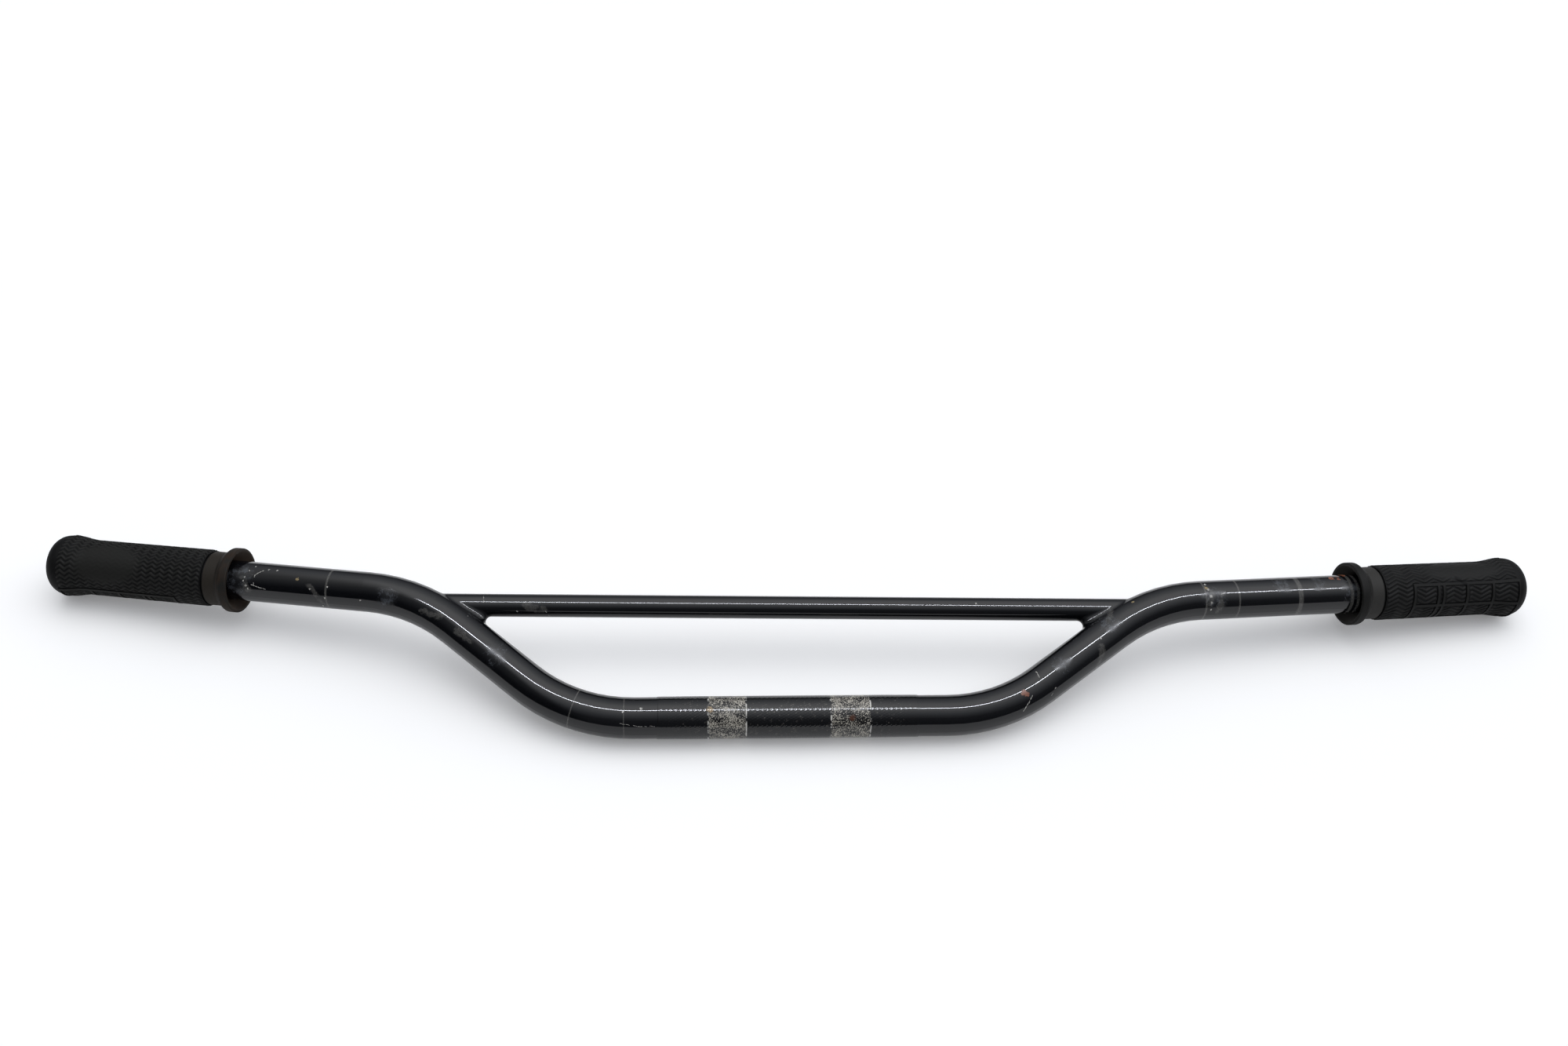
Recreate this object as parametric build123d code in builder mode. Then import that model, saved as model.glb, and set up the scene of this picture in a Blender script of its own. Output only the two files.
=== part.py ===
"""Bent tubular handlebar with a welded crossbar and two closed-end rubber grips.

The bar lies on a flat surface, as it comes to rest off the machine. +X runs along the
straight clamp section to the right-hand side, +Y runs along the surface from the clamp
section towards the crossbar and the shoulders, and +Z points up from the surface. The
origin is the middle of the clamp section's axis. Sizes are in millimetres and degrees.
"""

import os
from math import asin, atan2, cos, degrees, hypot, radians

from build123d import *

# Bent tube
tube_diameter = 22.2
tube_wall = 2.0
clamp_corner_x = 115.4
clamp_bend_radius = 91.3
shoulder_x = 207.4
shoulder_back = 61.7
shoulder_lift = 22.1
shoulder_bend_radius = 102.7
arm_sweep = 6.9
right_arm_length = 229.5
left_arm_length = 216.5
left_arm_knock = 4.5

# Knurled clamp zone, which rolling leaves a little proud of the tube
knurl_length = 140.0
knurl_rise = 0.2

# Crossbar and its welds
crossbar_diameter = 12.7
crossbar_wall = 1.6
crossbar_place = 0.93
weld_radius = 3.5

# Rubber grips, with distances taken outwards along the arm from the inner face
left_grip_length = 112.0
right_grip_length = 109.5
grip_end_wall = 5.0
grip_glue_gap = 0.05
dish_depth = 6.0
dish_radius = 16.6
lip_radius = 18.1
lip_crest = 4.6
lip_end = 8.2
lip_edge = 0.5
lip_round = 2.4
band_radius = 15.1
band_end = 15.4
groove_width = 1.0
groove_radius = 14.5
body_inner_radius = 15.4
body_outer_radius = 15.1
neck_from_end = 25.0
bulge_radius = 17.0
end_round = 8.5

# Raised finger ribs on each grip: rings crossed by straight ribs
rib_rise = 0.6
rib_root = 1.0
rib_width = 1.5
rib_start = 34.5
rib_pitch = 16.8
rib_rows = 3
rib_row_angle = 46.0
twin_rib_gap = 3.4
right_rib_turn = 31.0
left_rib_turn = 98.0

tube_radius = tube_diameter / 2
clamp_radius = tube_radius + knurl_rise
crossbar_radius = crossbar_diameter / 2


class Arm:
    """One side of the bar: its clamp corner, its shoulder, the straight arm beyond it and its grip's lengths."""

    def __init__(self, side, length, grip_length, knock):
        self.side = side
        self.length = length
        self.grip_length = grip_length
        self.grip_neck = grip_length - neck_from_end
        self.grip_crest = grip_length - end_round
        self.corner = Vector(clamp_corner_x * side, 0, 0)
        # The arm slopes down until the swollen end of its grip lies level with the clamp zone.
        reach = length - end_round
        height = shoulder_lift + clamp_radius
        slope = asin(height / hypot(reach, bulge_radius)) - atan2(bulge_radius, reach)
        plan = radians(arm_sweep)
        direction = Vector(cos(slope) * cos(plan) * side, cos(slope) * sin_of(arm_sweep), -sin_of(degrees(slope)))
        leg = Vector((shoulder_x - clamp_corner_x) * side, shoulder_back, shoulder_lift)
        # A knock in use has turned the whole side back about its clamp corner.
        turn = knock * side
        self.direction = direction.rotate(Axis.Z, turn)
        self.shoulder = self.corner + leg.rotate(Axis.Z, turn)
        self.tip = self.shoulder + self.direction * (length - grip_end_wall)
        self.crossbar_end = self.corner + (self.shoulder - self.corner) * crossbar_place

    def grip_face(self):
        """The point on the arm's axis at the inner face of the grip."""
        return self.shoulder + self.direction * (self.length - self.grip_length)

    def grip_plane(self, turn=0.0):
        """A plane through the arm's axis: x runs out along the arm, y is turned from up to the front."""
        spin = Axis((0, 0, 0), self.direction * self.side)
        across = self.direction.cross(Vector(0, 0, 1)).normalized()
        up = across.cross(self.direction).normalized().rotate(spin, turn)
        return Plane(origin=self.grip_face(), x_dir=self.direction, z_dir=self.direction.cross(up))

    def grip_axis(self):
        """The arm's axis, pointing to the right-hand side of the bar on both arms."""
        return Axis(self.grip_face(), self.direction * self.side)


def sin_of(angle):
    """Sine of an angle in degrees."""
    return cos(radians(90 - angle))


def square_to(axis, towards):
    """The direction at right angles to an axis that is nearest to another direction."""
    return towards - axis * (axis.dot(towards) / axis.dot(axis))


left_arm = Arm(-1, left_arm_length, left_grip_length, left_arm_knock)
right_arm = Arm(1, right_arm_length, right_grip_length, 0.0)


def bar_rod(radius):
    """A solid rod that follows the bent tube's centre line from tip to tip."""
    with BuildPart() as rod:
        with BuildLine():
            FilletPolyline(
                left_arm.tip,
                left_arm.shoulder,
                left_arm.corner,
                right_arm.corner,
                right_arm.shoulder,
                right_arm.tip,
                radius=[shoulder_bend_radius, clamp_bend_radius, clamp_bend_radius, shoulder_bend_radius],
            )
        # The swept surface has its seam line on the front, clear of the crossbar's joints.
        along = left_arm.direction * -1
        with BuildSketch(Plane(origin=left_arm.tip, x_dir=square_to(along, Vector(0, -1, 0)), z_dir=along)):
            Circle(radius)
        sweep()
    return rod.part


def crossbar_rod(radius):
    """A solid rod along the crossbar, from one leg's axis to the other's."""
    start = left_arm.crossbar_end
    span = right_arm.crossbar_end - start
    with BuildPart() as rod:
        with BuildSketch(Plane(origin=start, x_dir=square_to(span, Vector(0, 0, 1)), z_dir=span)):
            Circle(radius)
        extrude(amount=span.length)
    return rod.part


def weld_bead(arm):
    """The fillet weld all round the crossbar's end on one side of the bar."""
    with BuildPart() as bead:
        add(tube_envelope)
        add(crossbar_envelope)
        seams = bead.edges().filter_by(GeomType.BSPLINE)
        fillet(seams.filter_by(lambda seam: seam.center().X * arm.side > clamp_corner_x), radius=weld_radius)
        add(tube_envelope, mode=Mode.SUBTRACT)
        add(crossbar_envelope, mode=Mode.SUBTRACT)
    return bead.part


def body_line(arm, start, rise):
    """Draws the outer line of a grip's body, raised by an amount, up to the crest of its swollen end."""
    neck = Vector(arm.grip_neck, body_outer_radius + rise)
    crest = Vector(arm.grip_crest, bulge_radius + rise)
    Line((start, body_inner_radius + rise), neck)
    lower = TangentArc(neck, (neck + crest) / 2, tangent=(1, 0))
    TangentArc(lower @ 1, crest, tangent=lower % 1)


def grip_body(arm):
    """A closed-end grip without its ribs, turned about the arm's axis."""
    bore_radius = tube_radius + grip_glue_gap
    bore_end = arm.grip_length - grip_end_wall
    body_start = band_end + groove_width
    with BuildPart() as body:
        with BuildSketch(arm.grip_plane()):
            with BuildLine():
                FilletPolyline(
                    (dish_depth, bore_radius),
                    (0, dish_radius),
                    (0, lip_radius),
                    (lip_crest, lip_radius),
                    (lip_end, band_radius),
                    (band_end, band_radius),
                    radius=[lip_edge, lip_edge, lip_round, lip_round / 2],
                )
                Polyline(
                    (band_end, band_radius),
                    (band_end, groove_radius),
                    (body_start, groove_radius),
                    (body_start, body_inner_radius),
                )
                body_line(arm, body_start, 0)
                TangentArc(
                    (arm.grip_crest, bulge_radius),
                    (arm.grip_length, bulge_radius - end_round),
                    tangent=(1, 0),
                )
                Polyline(
                    (arm.grip_length, bulge_radius - end_round),
                    (arm.grip_length, 0),
                    (bore_end, 0),
                    (bore_end, bore_radius),
                    (dish_depth, bore_radius),
                )
            make_face()
        revolve(axis=arm.grip_axis())
    return body.part


def finger_ribs(arm, turn):
    """The raised ribs of one grip, which start at an angle turned from up to the front."""
    twin = rib_start + rib_pitch
    rings = [rib_start, twin - twin_rib_gap / 2, twin + twin_rib_gap / 2, twin + rib_pitch, twin + 2 * rib_pitch]
    rings.append(arm.grip_crest)
    half_angle = degrees(rib_width / 2 / body_outer_radius)
    with BuildPart() as ribs:
        for place in rings:
            with BuildSketch(Plane(origin=arm.grip_face() + arm.direction * place, z_dir=arm.direction)):
                Circle(bulge_radius + 2 * rib_rise)
            extrude(amount=rib_width / 2, both=True)
        for row in range(rib_rows + 1):
            with BuildSketch(arm.grip_plane(turn + row * rib_row_angle)):
                with Locations((rib_start, 0)):
                    Rectangle(arm.grip_crest - rib_start, bulge_radius + 2 * rib_rise, align=(Align.MIN, Align.MIN))
            extrude(amount=rib_width / 2, both=True)
        # Only the skin that stands proud of the body is kept from the rings and the straight ribs.
        with BuildSketch(arm.grip_plane(turn - half_angle)):
            with BuildLine():
                body_line(arm, band_end + groove_width, rib_rise)
                Polyline(
                    (arm.grip_crest, bulge_radius + rib_rise),
                    (arm.grip_crest, bulge_radius - rib_root),
                    (arm.grip_neck, body_outer_radius - rib_root),
                    (band_end + groove_width, body_outer_radius - rib_root),
                    (band_end + groove_width, body_inner_radius + rib_rise),
                )
            make_face()
        revolve(
            axis=arm.grip_axis(),
            revolution_arc=rib_rows * rib_row_angle + 2 * half_angle,
            mode=Mode.INTERSECT,
        )
    return ribs.part


tube_envelope = bar_rod(tube_radius)
crossbar_envelope = crossbar_rod(crossbar_radius)

# Bent tube with the raised band of its knurled zone
with BuildPart() as handlebar_tube:
    add(tube_envelope)
    with BuildSketch(Plane.YZ.offset(-knurl_length / 2)):
        Circle(clamp_radius)
        Circle(tube_radius - tube_wall / 2, mode=Mode.SUBTRACT)
    extrude(amount=knurl_length)
    add(bar_rod(tube_radius - tube_wall), mode=Mode.SUBTRACT)

# Crossbar, coped at both ends to the outside of the bent tube
with BuildPart() as crossbar_tube:
    add(crossbar_envelope)
    add(crossbar_rod(crossbar_radius - crossbar_wall), mode=Mode.SUBTRACT)
    add(tube_envelope, mode=Mode.SUBTRACT)

# Weld beads between the crossbar and the bent tube
with BuildPart() as crossbar_weld_left:
    add(weld_bead(left_arm))

with BuildPart() as crossbar_weld_right:
    add(weld_bead(right_arm))

# Grips, each glued on the end of its arm
with BuildPart() as grip_left:
    add(grip_body(left_arm))
    add(finger_ribs(left_arm, left_rib_turn))

with BuildPart() as grip_right:
    add(grip_body(right_arm))
    add(finger_ribs(right_arm, right_rib_turn))

handlebar_tube.part.label = "handlebar_tube"
crossbar_tube.part.label = "crossbar_tube"
crossbar_weld_left.part.label = "crossbar_weld_left"
crossbar_weld_right.part.label = "crossbar_weld_right"
grip_left.part.label = "grip_left"
grip_right.part.label = "grip_right"

os.makedirs("parts", exist_ok=True)
export_step(handlebar_tube.part, "parts/handlebar_tube.step")
export_step(crossbar_tube.part, "parts/crossbar_tube.step")
export_step(crossbar_weld_left.part, "parts/crossbar_weld_left.step")
export_step(crossbar_weld_right.part, "parts/crossbar_weld_right.step")
export_step(grip_left.part, "parts/grip_left.step")
export_step(grip_right.part, "parts/grip_right.step")
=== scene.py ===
# %% [markdown]
# # A used quad-bike handlebar
#
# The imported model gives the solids: one bent steel tube, a crossbar with its two weld beads and
# two closed-end rubber grips. This lesson dresses them as the real bar looks after years of use:
# gloss black enamel, a rolled diamond knurl in the clamp zone, zigzag tread on the grips, and the
# scratches, rings and rust that clamps, levers and weather have left.

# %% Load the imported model
import math

import bpy
from mathutils import Matrix, Vector


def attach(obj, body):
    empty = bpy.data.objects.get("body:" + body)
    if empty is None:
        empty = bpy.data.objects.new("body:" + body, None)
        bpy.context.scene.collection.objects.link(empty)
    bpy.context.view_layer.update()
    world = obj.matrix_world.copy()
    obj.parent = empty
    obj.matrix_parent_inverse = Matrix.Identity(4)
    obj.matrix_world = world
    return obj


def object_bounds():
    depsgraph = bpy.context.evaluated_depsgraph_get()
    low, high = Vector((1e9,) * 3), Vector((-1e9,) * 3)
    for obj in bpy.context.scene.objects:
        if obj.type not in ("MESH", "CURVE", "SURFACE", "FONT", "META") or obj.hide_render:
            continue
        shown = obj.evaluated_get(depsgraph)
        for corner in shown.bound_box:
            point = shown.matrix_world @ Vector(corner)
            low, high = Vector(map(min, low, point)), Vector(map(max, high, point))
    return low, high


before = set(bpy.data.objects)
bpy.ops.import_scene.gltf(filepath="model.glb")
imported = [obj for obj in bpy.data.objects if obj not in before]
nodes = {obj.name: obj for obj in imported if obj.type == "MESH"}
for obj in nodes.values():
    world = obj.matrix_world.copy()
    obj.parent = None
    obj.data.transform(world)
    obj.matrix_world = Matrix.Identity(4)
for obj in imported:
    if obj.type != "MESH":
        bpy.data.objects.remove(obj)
cad_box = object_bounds()
MM = 0.001
print("nodes:", sorted(nodes))

# %% [markdown]
# Colours are written as sRGB hex values, the way a colour picker shows them, and one function
# turns them to the linear values that Blender works in. A second small function adds one node to
# a tree with its settings and its links. Its inputs are listed by name, or in the order in which
# the node shows them, so that a material reads as a short list.


# %% Helpers for colours and nodes
def linear(hex_colour):
    """The linear RGBA colour of an sRGB hex value."""
    channels = [int(hex_colour[i : i + 2], 16) / 255 for i in (1, 3, 5)]
    return [c / 12.92 if c <= 0.04045 else ((c + 0.055) / 1.055) ** 2.4 for c in channels] + [1.0]


def add_node(tree, kind, inputs=(), **settings):
    """Adds one node. Each input takes a value, a socket, or a node for its first shown output."""
    made = tree.nodes.new(kind)
    for name, value in settings.items():
        setattr(made, name, value)
    if isinstance(inputs, dict):
        pairs = [(made.inputs[name], value) for name, value in inputs.items()]
    else:
        pairs = zip([socket for socket in made.inputs if socket.enabled], inputs)
    for socket, value in pairs:
        if isinstance(value, bpy.types.Node):
            value = next(output for output in value.outputs if output.enabled)
        if isinstance(value, bpy.types.NodeSocket):
            tree.links.new(value, socket)
        else:
            socket.default_value = value
    return made


print("mid grey #808080 is", round(linear("#808080")[0], 3), "in linear light")

# %% [markdown]
# The camera repeats the photograph's viewpoint: a normal lens a little under a metre away, looking
# down at the bar as it lies on the floor. The angles and the distance come from fitting the bar's
# known tube diameter and straight lines to the picture.

# %% Camera
PHOTO_WIDTH = 1999
FOCAL_PIXELS = 1943.0
FILM_WIDTH_MM = 36.0
CAMERA_YAW = -4.37
CAMERA_PITCH = 44.22
CAMERA_ROLL = 2.96
CAMERA_OFFSET_MM = Vector((1.96, 104.08, 818.87))

level = Matrix(((1, 0, 0), (0, 0, -1), (0, 1, 0)))
to_camera = (
    Matrix.Rotation(math.radians(CAMERA_ROLL), 3, "Z")
    @ Matrix.Rotation(math.radians(CAMERA_PITCH), 3, "X")
    @ Matrix.Rotation(math.radians(CAMERA_YAW), 3, "Y")
    @ level
)
axes = Matrix((to_camera[0], -to_camera[1], -to_camera[2])).transposed()
eye = -(to_camera.transposed() @ CAMERA_OFFSET_MM) * MM

camera_data = bpy.data.cameras.new("camera")
camera_data.sensor_width = FILM_WIDTH_MM
camera_data.lens = FILM_WIDTH_MM * FOCAL_PIXELS / PHOTO_WIDTH
camera_data.clip_start = 0.01
camera_data.clip_end = 50.0
camera = bpy.data.objects.new("camera", camera_data)
camera.matrix_world = Matrix.Translation(eye) @ axes.to_4x4()
bpy.context.scene.collection.objects.link(camera)
bpy.context.scene.camera = camera
bpy.context.scene.view_settings.view_transform = "Standard"
print("lens:", round(camera_data.lens, 2), "mm, at", [round(c, 3) for c in eye])

# %% [markdown]
# The floor is plain and nearly white. Every ray from this camera meets the floor, so no backdrop
# is needed. The light alone leaves it a pale grey, so rays from the camera and mirrored rays see a
# small lift that brings it to white, while the bar isn't lit any more than before and its shadow
# stays on the floor.

# %% Floor
FLOOR_SIZE = 20.0
FLOOR_GAP = 0.25 * MM
PAPER_LIFT = 0.2

half = FLOOR_SIZE / 2
floor_height = cad_box[0].z - FLOOR_GAP
corners = [(x * half, y * half, floor_height) for x, y in ((-1, -1), (1, -1), (1, 1), (-1, 1))]
floor_mesh = bpy.data.meshes.new("floor")
floor_mesh.from_pydata(corners, [], [(0, 1, 2, 3)])
floor = bpy.data.objects.new("floor", floor_mesh)
bpy.context.scene.collection.objects.link(floor)
print("floor:", FLOOR_SIZE, "m across, at a height of", round(floor_height / MM, 2), "mm")

# %% [markdown]
# Matt white paper has no mirror image at all. Three of the Light Path node's outputs say what kind
# of ray has come: 1 from the camera, from a mirror or through glass, and 0 from elsewhere. The
# largest of the three switches the lift on.

# %% White paper for the floor
paper = bpy.data.materials.new("matt_white_paper")
paper.use_nodes = True
tree = paper.node_tree
sheet = tree.nodes["Principled BSDF"]
sheet.inputs["Base Color"].default_value = linear("#F2F2F2")
sheet.inputs["Roughness"].default_value = 0.9
sheet.inputs["Specular IOR Level"].default_value = 0.0
sheet.inputs["Emission Color"].default_value = linear("#FFFFFF")
ray = add_node(tree, "ShaderNodeLightPath").outputs
seen = add_node(
    tree, "ShaderNodeMath", (ray["Is Camera Ray"], ray["Is Glossy Ray"]), operation="MAXIMUM"
)
seen = add_node(
    tree, "ShaderNodeMath", (seen, ray["Is Transmission Ray"]), operation="MAXIMUM"
)
lift = add_node(tree, "ShaderNodeMath", (seen, PAPER_LIFT), operation="MULTIPLY")
tree.links.new(lift.outputs[0], sheet.inputs["Emission Strength"])
floor_mesh.materials.append(paper)
print("paper:", len(tree.nodes), "nodes")

# %% [markdown]
# The light is a broad glow overhead that fades towards the horizon and to the left, as in a room
# with one bright ceiling panel. Gloss enamel mirrors it as a soft grey gradient, which is what
# tells the eye that the tube is round. The colour ramp runs from the directions at right angles to
# the glow, which are the darkest, to its middle. Directions are squeezed along the bar first, so
# that the round glow becomes a long band above it.

# %% Ceiling glow
GLOW_SHADES = {
    0.0: "#3C3D40",
    0.39: "#4D4E52",
    0.59: "#7B7D82",
    0.73: "#9A9DA2",
    0.88: "#C4C6CA",
    1.0: "#FCFDFF",
}
GLOW_BACK_TILT = math.radians(12.0)
GLOW_STRENGTH = 2.2
GLOW_SQUEEZE = (0.3, 1.0, 1.0)
DIM_FROM = -0.52
DIM_TO = -0.30
LEFT_DIMMING = 0.3

world = bpy.data.worlds.new("studio")
bpy.context.scene.world = world
world.use_nodes = True
sky = world.node_tree
sky.nodes.clear()
direction = add_node(sky, "ShaderNodeTexCoord").outputs["Generated"]
squeezed = add_node(sky, "ShaderNodeVectorMath", (direction, GLOW_SQUEEZE), operation="MULTIPLY")
unit = add_node(sky, "ShaderNodeVectorMath", (squeezed,), operation="NORMALIZE")
glow_middle = (0.0, math.sin(GLOW_BACK_TILT), math.cos(GLOW_BACK_TILT))
towards = add_node(sky, "ShaderNodeVectorMath", (unit, glow_middle), operation="DOT_PRODUCT")
glow = add_node(sky, "ShaderNodeValToRGB", (towards,))
stops = glow.color_ramp.elements
for height, shade in GLOW_SHADES.items():
    stop = next((stop for stop in stops if stop.position == height), None) or stops.new(height)
    stop.color = linear(shade)
sideways = add_node(sky, "ShaderNodeSeparateXYZ", (direction,)).outputs["X"]
strength = add_node(
    sky,
    "ShaderNodeMapRange",
    (sideways, DIM_FROM, DIM_TO, LEFT_DIMMING * GLOW_STRENGTH, GLOW_STRENGTH),
    interpolation_type="SMOOTHSTEP",
)
ceiling = add_node(sky, "ShaderNodeBackground", {"Color": glow, "Strength": strength})
add_node(sky, "ShaderNodeOutputWorld", {"Surface": ceiling})
print("glow shades:", len(stops))

# %% [markdown]
# One long strip lamp hangs above the bar, and the enamel mirrors it as the thin bright line that
# makes it look shiny. The strip is seen only in mirror images, so the level of the light comes
# from the glow alone, and a colour renders about as it is written.

# %% Strip lamp
STRIP_LENGTH = 2.15
STRIP_WIDTH = 0.016
STRIP_PLACE = (0.42, 0.05, 1.2)
STRIP_POWER = 15.0

lamp_data = bpy.data.lights.new("strip_lamp", "AREA")
lamp_data.shape = "RECTANGLE"
lamp_data.size = STRIP_LENGTH
lamp_data.size_y = STRIP_WIDTH
lamp_data.energy = STRIP_POWER
lamp_data.color = linear("#F3F6FF")[:3]
lamp = bpy.data.objects.new("strip_lamp", lamp_data)
lamp.location = STRIP_PLACE
lamp.visible_diffuse = False
bpy.context.scene.collection.objects.link(lamp)
print("strip lamp:", STRIP_LENGTH, "m long and", STRIP_WIDTH / MM, "mm wide")

# %% [markdown]
# Both grips sit on straight arms that slope down and sweep back. Everything that follows a grip
# is laid out along its arm, so the arm's line is read from the flat ring at the tube's end.

# %% The line of each arm
GRIP_LENGTH_MM = {"left": 112.0, "right": 109.5}
GRIP_END_WALL_MM = 5.0


def arm_frame(name, side):
    """The matrix of a grip: x out along the arm from its inner face, y level and z up."""
    mesh = nodes["handlebar_tube"].data
    tip = max(mesh.polygons, key=lambda face: (face.normal.x * 0.1 + face.center.x) * side)
    out = tip.normal.normalized()
    reach = tip.center.dot(out)
    ring = {
        tuple(round(c, 6) for c in vertex.co)
        for vertex in mesh.vertices
        if abs(vertex.co.dot(out) - reach) < 0.01 * MM
    }
    centre = sum((Vector(point) for point in ring), Vector()) / len(ring)
    face = centre - out * (GRIP_LENGTH_MM[name] - GRIP_END_WALL_MM) * MM
    level_way = Vector((0, 0, 1)).cross(out).normalized()
    up = out.cross(level_way)
    return Matrix.Translation(face) @ Matrix((out, level_way, up)).transposed().to_4x4()


arms = {"left": arm_frame("left", -1), "right": arm_frame("right", 1)}
arm_ways = {name: tuple(arm.col[0][:3]) for name, arm in arms.items()}
for name, arm in arms.items():
    print(name, "grip face:", [round(c / MM, 2) for c in arm.translation])

# %% [markdown]
# Wear is laid on with masks, which are numbers from 0 to 1 over the surface. A mask starts as a
# distance in the object's own space, in millimetres, so the wear stays with the metal. A smooth
# step turns the distance to a mask, and several masks are joined by taking the strongest.


# %% Distances and smooth steps
def in_millimetres(tree):
    """The point on the surface in the object's own space, in millimetres."""
    point = add_node(tree, "ShaderNodeTexCoord").outputs["Object"]
    return add_node(tree, "ShaderNodeVectorMath", (point, 1 / MM), operation="SCALE")


def fade(tree, value, start, end, before=1.0, after=0.0):
    """A smooth step from 1 below start to 0 past end, or from another value to another."""
    return add_node(
        tree,
        "ShaderNodeMapRange",
        (value, start, end, before, after),
        interpolation_type="SMOOTHSTEP",
    )


def rise(tree, value, start, end):
    """A smooth step from 0 below start to 1 past end."""
    return fade(tree, value, start, end, before=0.0, after=1.0)


def strongest(tree, masks):
    """The largest of several masks."""
    first, *rest = masks
    for mask in rest:
        first = add_node(tree, "ShaderNodeMath", (first, mask), operation="MAXIMUM")
    return first


# %% [markdown]
# Three masks cover the marks on this bar: a spot round a point for a chip or a scuff, a line
# between two points for a scratch or a smear, and a ring round the tube where a clamp has bitten.
# A ring is a thin slice across the tube, and it ends a little way from its point, because the same
# slice would also meet other parts of the bar.

# %% Spot, line and ring masks
RING_REACH_MM = (24.0, 30.0)


def spot_mask(tree, place, centre, reach):
    """1 at a point, fading to 0 at its reach."""
    away = add_node(tree, "ShaderNodeVectorMath", (place, centre), operation="DISTANCE")
    return fade(tree, away, 0.3 * reach, reach)


def line_mask(tree, place, start, end, width):
    """1 on the line between two points, fading to 0 at half its width."""
    run = Vector(end) - Vector(start)
    per_run = run / run.length_squared
    ahead = add_node(tree, "ShaderNodeVectorMath", (place, start), operation="SUBTRACT")
    share = add_node(tree, "ShaderNodeVectorMath", (ahead, per_run), operation="DOT_PRODUCT")
    held = add_node(tree, "ShaderNodeClamp", (share,))
    foot = add_node(tree, "ShaderNodeVectorMath", (run, held), operation="SCALE")
    away = add_node(tree, "ShaderNodeVectorMath", (ahead, foot), operation="DISTANCE")
    return fade(tree, away, 0.2 * width, 0.5 * width)


def ring_mask(tree, place, centre, along, width):
    """1 on the ring round the tube at a point, fading to 0 at half its width."""
    ahead = add_node(tree, "ShaderNodeVectorMath", (place, centre), operation="SUBTRACT")
    reach = add_node(tree, "ShaderNodeVectorMath", (ahead, along), operation="DOT_PRODUCT")
    off_slice = add_node(tree, "ShaderNodeMath", (reach,), operation="ABSOLUTE")
    away = add_node(tree, "ShaderNodeVectorMath", (ahead,), operation="LENGTH")
    ring = fade(tree, off_slice, 0.25 * width, 0.5 * width)
    near = fade(tree, away, *RING_REACH_MM)
    return add_node(tree, "ShaderNodeMath", (ring, near), operation="MULTIPLY")


# %% [markdown]
# A clean mask looks drawn. Noise makes it look worn in two ways. It pushes the places about before
# the mask is measured, which gives the mark a ragged outline, and it breaks the mask up, so that
# the mark is nearly whole in its middle and thins out to specks at its edge. Each grain has a real
# size in millimetres. The colours are then laid one over another, each through its own mask, as
# marks are laid over paint.

# %% Ragged and frayed marks
FRAY_FROM = 1.12
FRAY_TO = 1.3


def grit(tree, place, grain_mm, low, high):
    """Noise with grains of a size in millimetres, stretched so that low and high become 0 and 1."""
    settings = {"Vector": place, "Scale": 1.0 / grain_mm, "Detail": 4.0}
    noise = add_node(tree, "ShaderNodeTexNoise", settings)
    return add_node(tree, "ShaderNodeMapRange", (noise, low, high))


def wobbled(tree, place, grain_mm, reach_mm):
    """The place pushed about by noise, so that a mask measured from it gets a ragged outline."""
    settings = {"Vector": place, "Scale": 1.0 / grain_mm, "Detail": 2.0}
    noise = add_node(tree, "ShaderNodeTexNoise", settings).outputs["Color"]
    push = add_node(tree, "ShaderNodeVectorMath", (noise, (0.5, 0.5, 0.5)), operation="SUBTRACT")
    push = add_node(tree, "ShaderNodeVectorMath", (push, reach_mm), operation="SCALE")
    return add_node(tree, "ShaderNodeVectorMath", (place, push), operation="ADD")


def frayed(tree, mask, noise):
    """A mask broken up by noise: nearly whole at 1, and thinned out to nothing towards 0."""
    both = add_node(tree, "ShaderNodeMath", (mask, noise), operation="ADD")
    return add_node(tree, "ShaderNodeMapRange", (both, FRAY_FROM, FRAY_TO))


def painted(tree, base, layers):
    """A base colour, with each layer's colour laid over it through the layer's mask."""
    colour = linear(base)
    for mask, shade in layers:
        colour = add_node(tree, "ShaderNodeMix", (mask, colour, linear(shade)), data_type="RGBA")
    return colour.outputs[2]


# %% [markdown]
# Each mark on the enamel is placed where the real bar has it, in millimetres from the middle of
# the clamp zone. Scratches and smears run between two points, chips, scuffs and rust lie round
# one, and rings have the direction of the tube. The last number is the width or the reach. One
# spot in the chip table is no chip but a painted glint.

# %% Marks on the enamel
SCRATCHES = (
    ((-295.1, 78.7, 21.7), (-287.1, 75.9, 20.7), 0.6),
    ((-288.7, 85.1, 26.2), (-293.1, 82.6, 25.1), 0.7),
    ((-293.1, 82.6, 25.1), (-293.8, 78.5, 21.9), 0.7),
    ((-173.0, 50.7, 25.8), (-164.7, 53.1, 18.6), 0.7),
    ((-180.5, 48.3, 26.9), (-172.0, 46.0, 25.0), 0.5),
    ((-165.4, 64.2, 26.8), (-165.1, 60.7, 26.3), 0.9),
    ((-131.4, 56.8, 22.6), (-129.5, 56.7, 18.9), 0.8),
    ((-89.3, -8.7, 6.6), (-80.0, -9.6, 5.2), 0.4),
    ((-80.0, -9.6, 5.2), (-70.8, -9.8, 5.1), 0.4),
    ((131.5, 3.5, 12.2), (129.3, 0.3, 9.6), 0.8),
    ((129.3, 0.3, 9.6), (126.8, -2.4, 6.3), 0.7),
    ((135.2, 16.8, 16.1), (136.2, 12.8, 16.2), 0.9),
    ((145.2, 8.9, 12.2), (143.1, 6.1, 9.0), 0.6),
    ((240.0, 60.0, 29.6), (250.0, 62.5, 29.4), 0.5),
)
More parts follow.
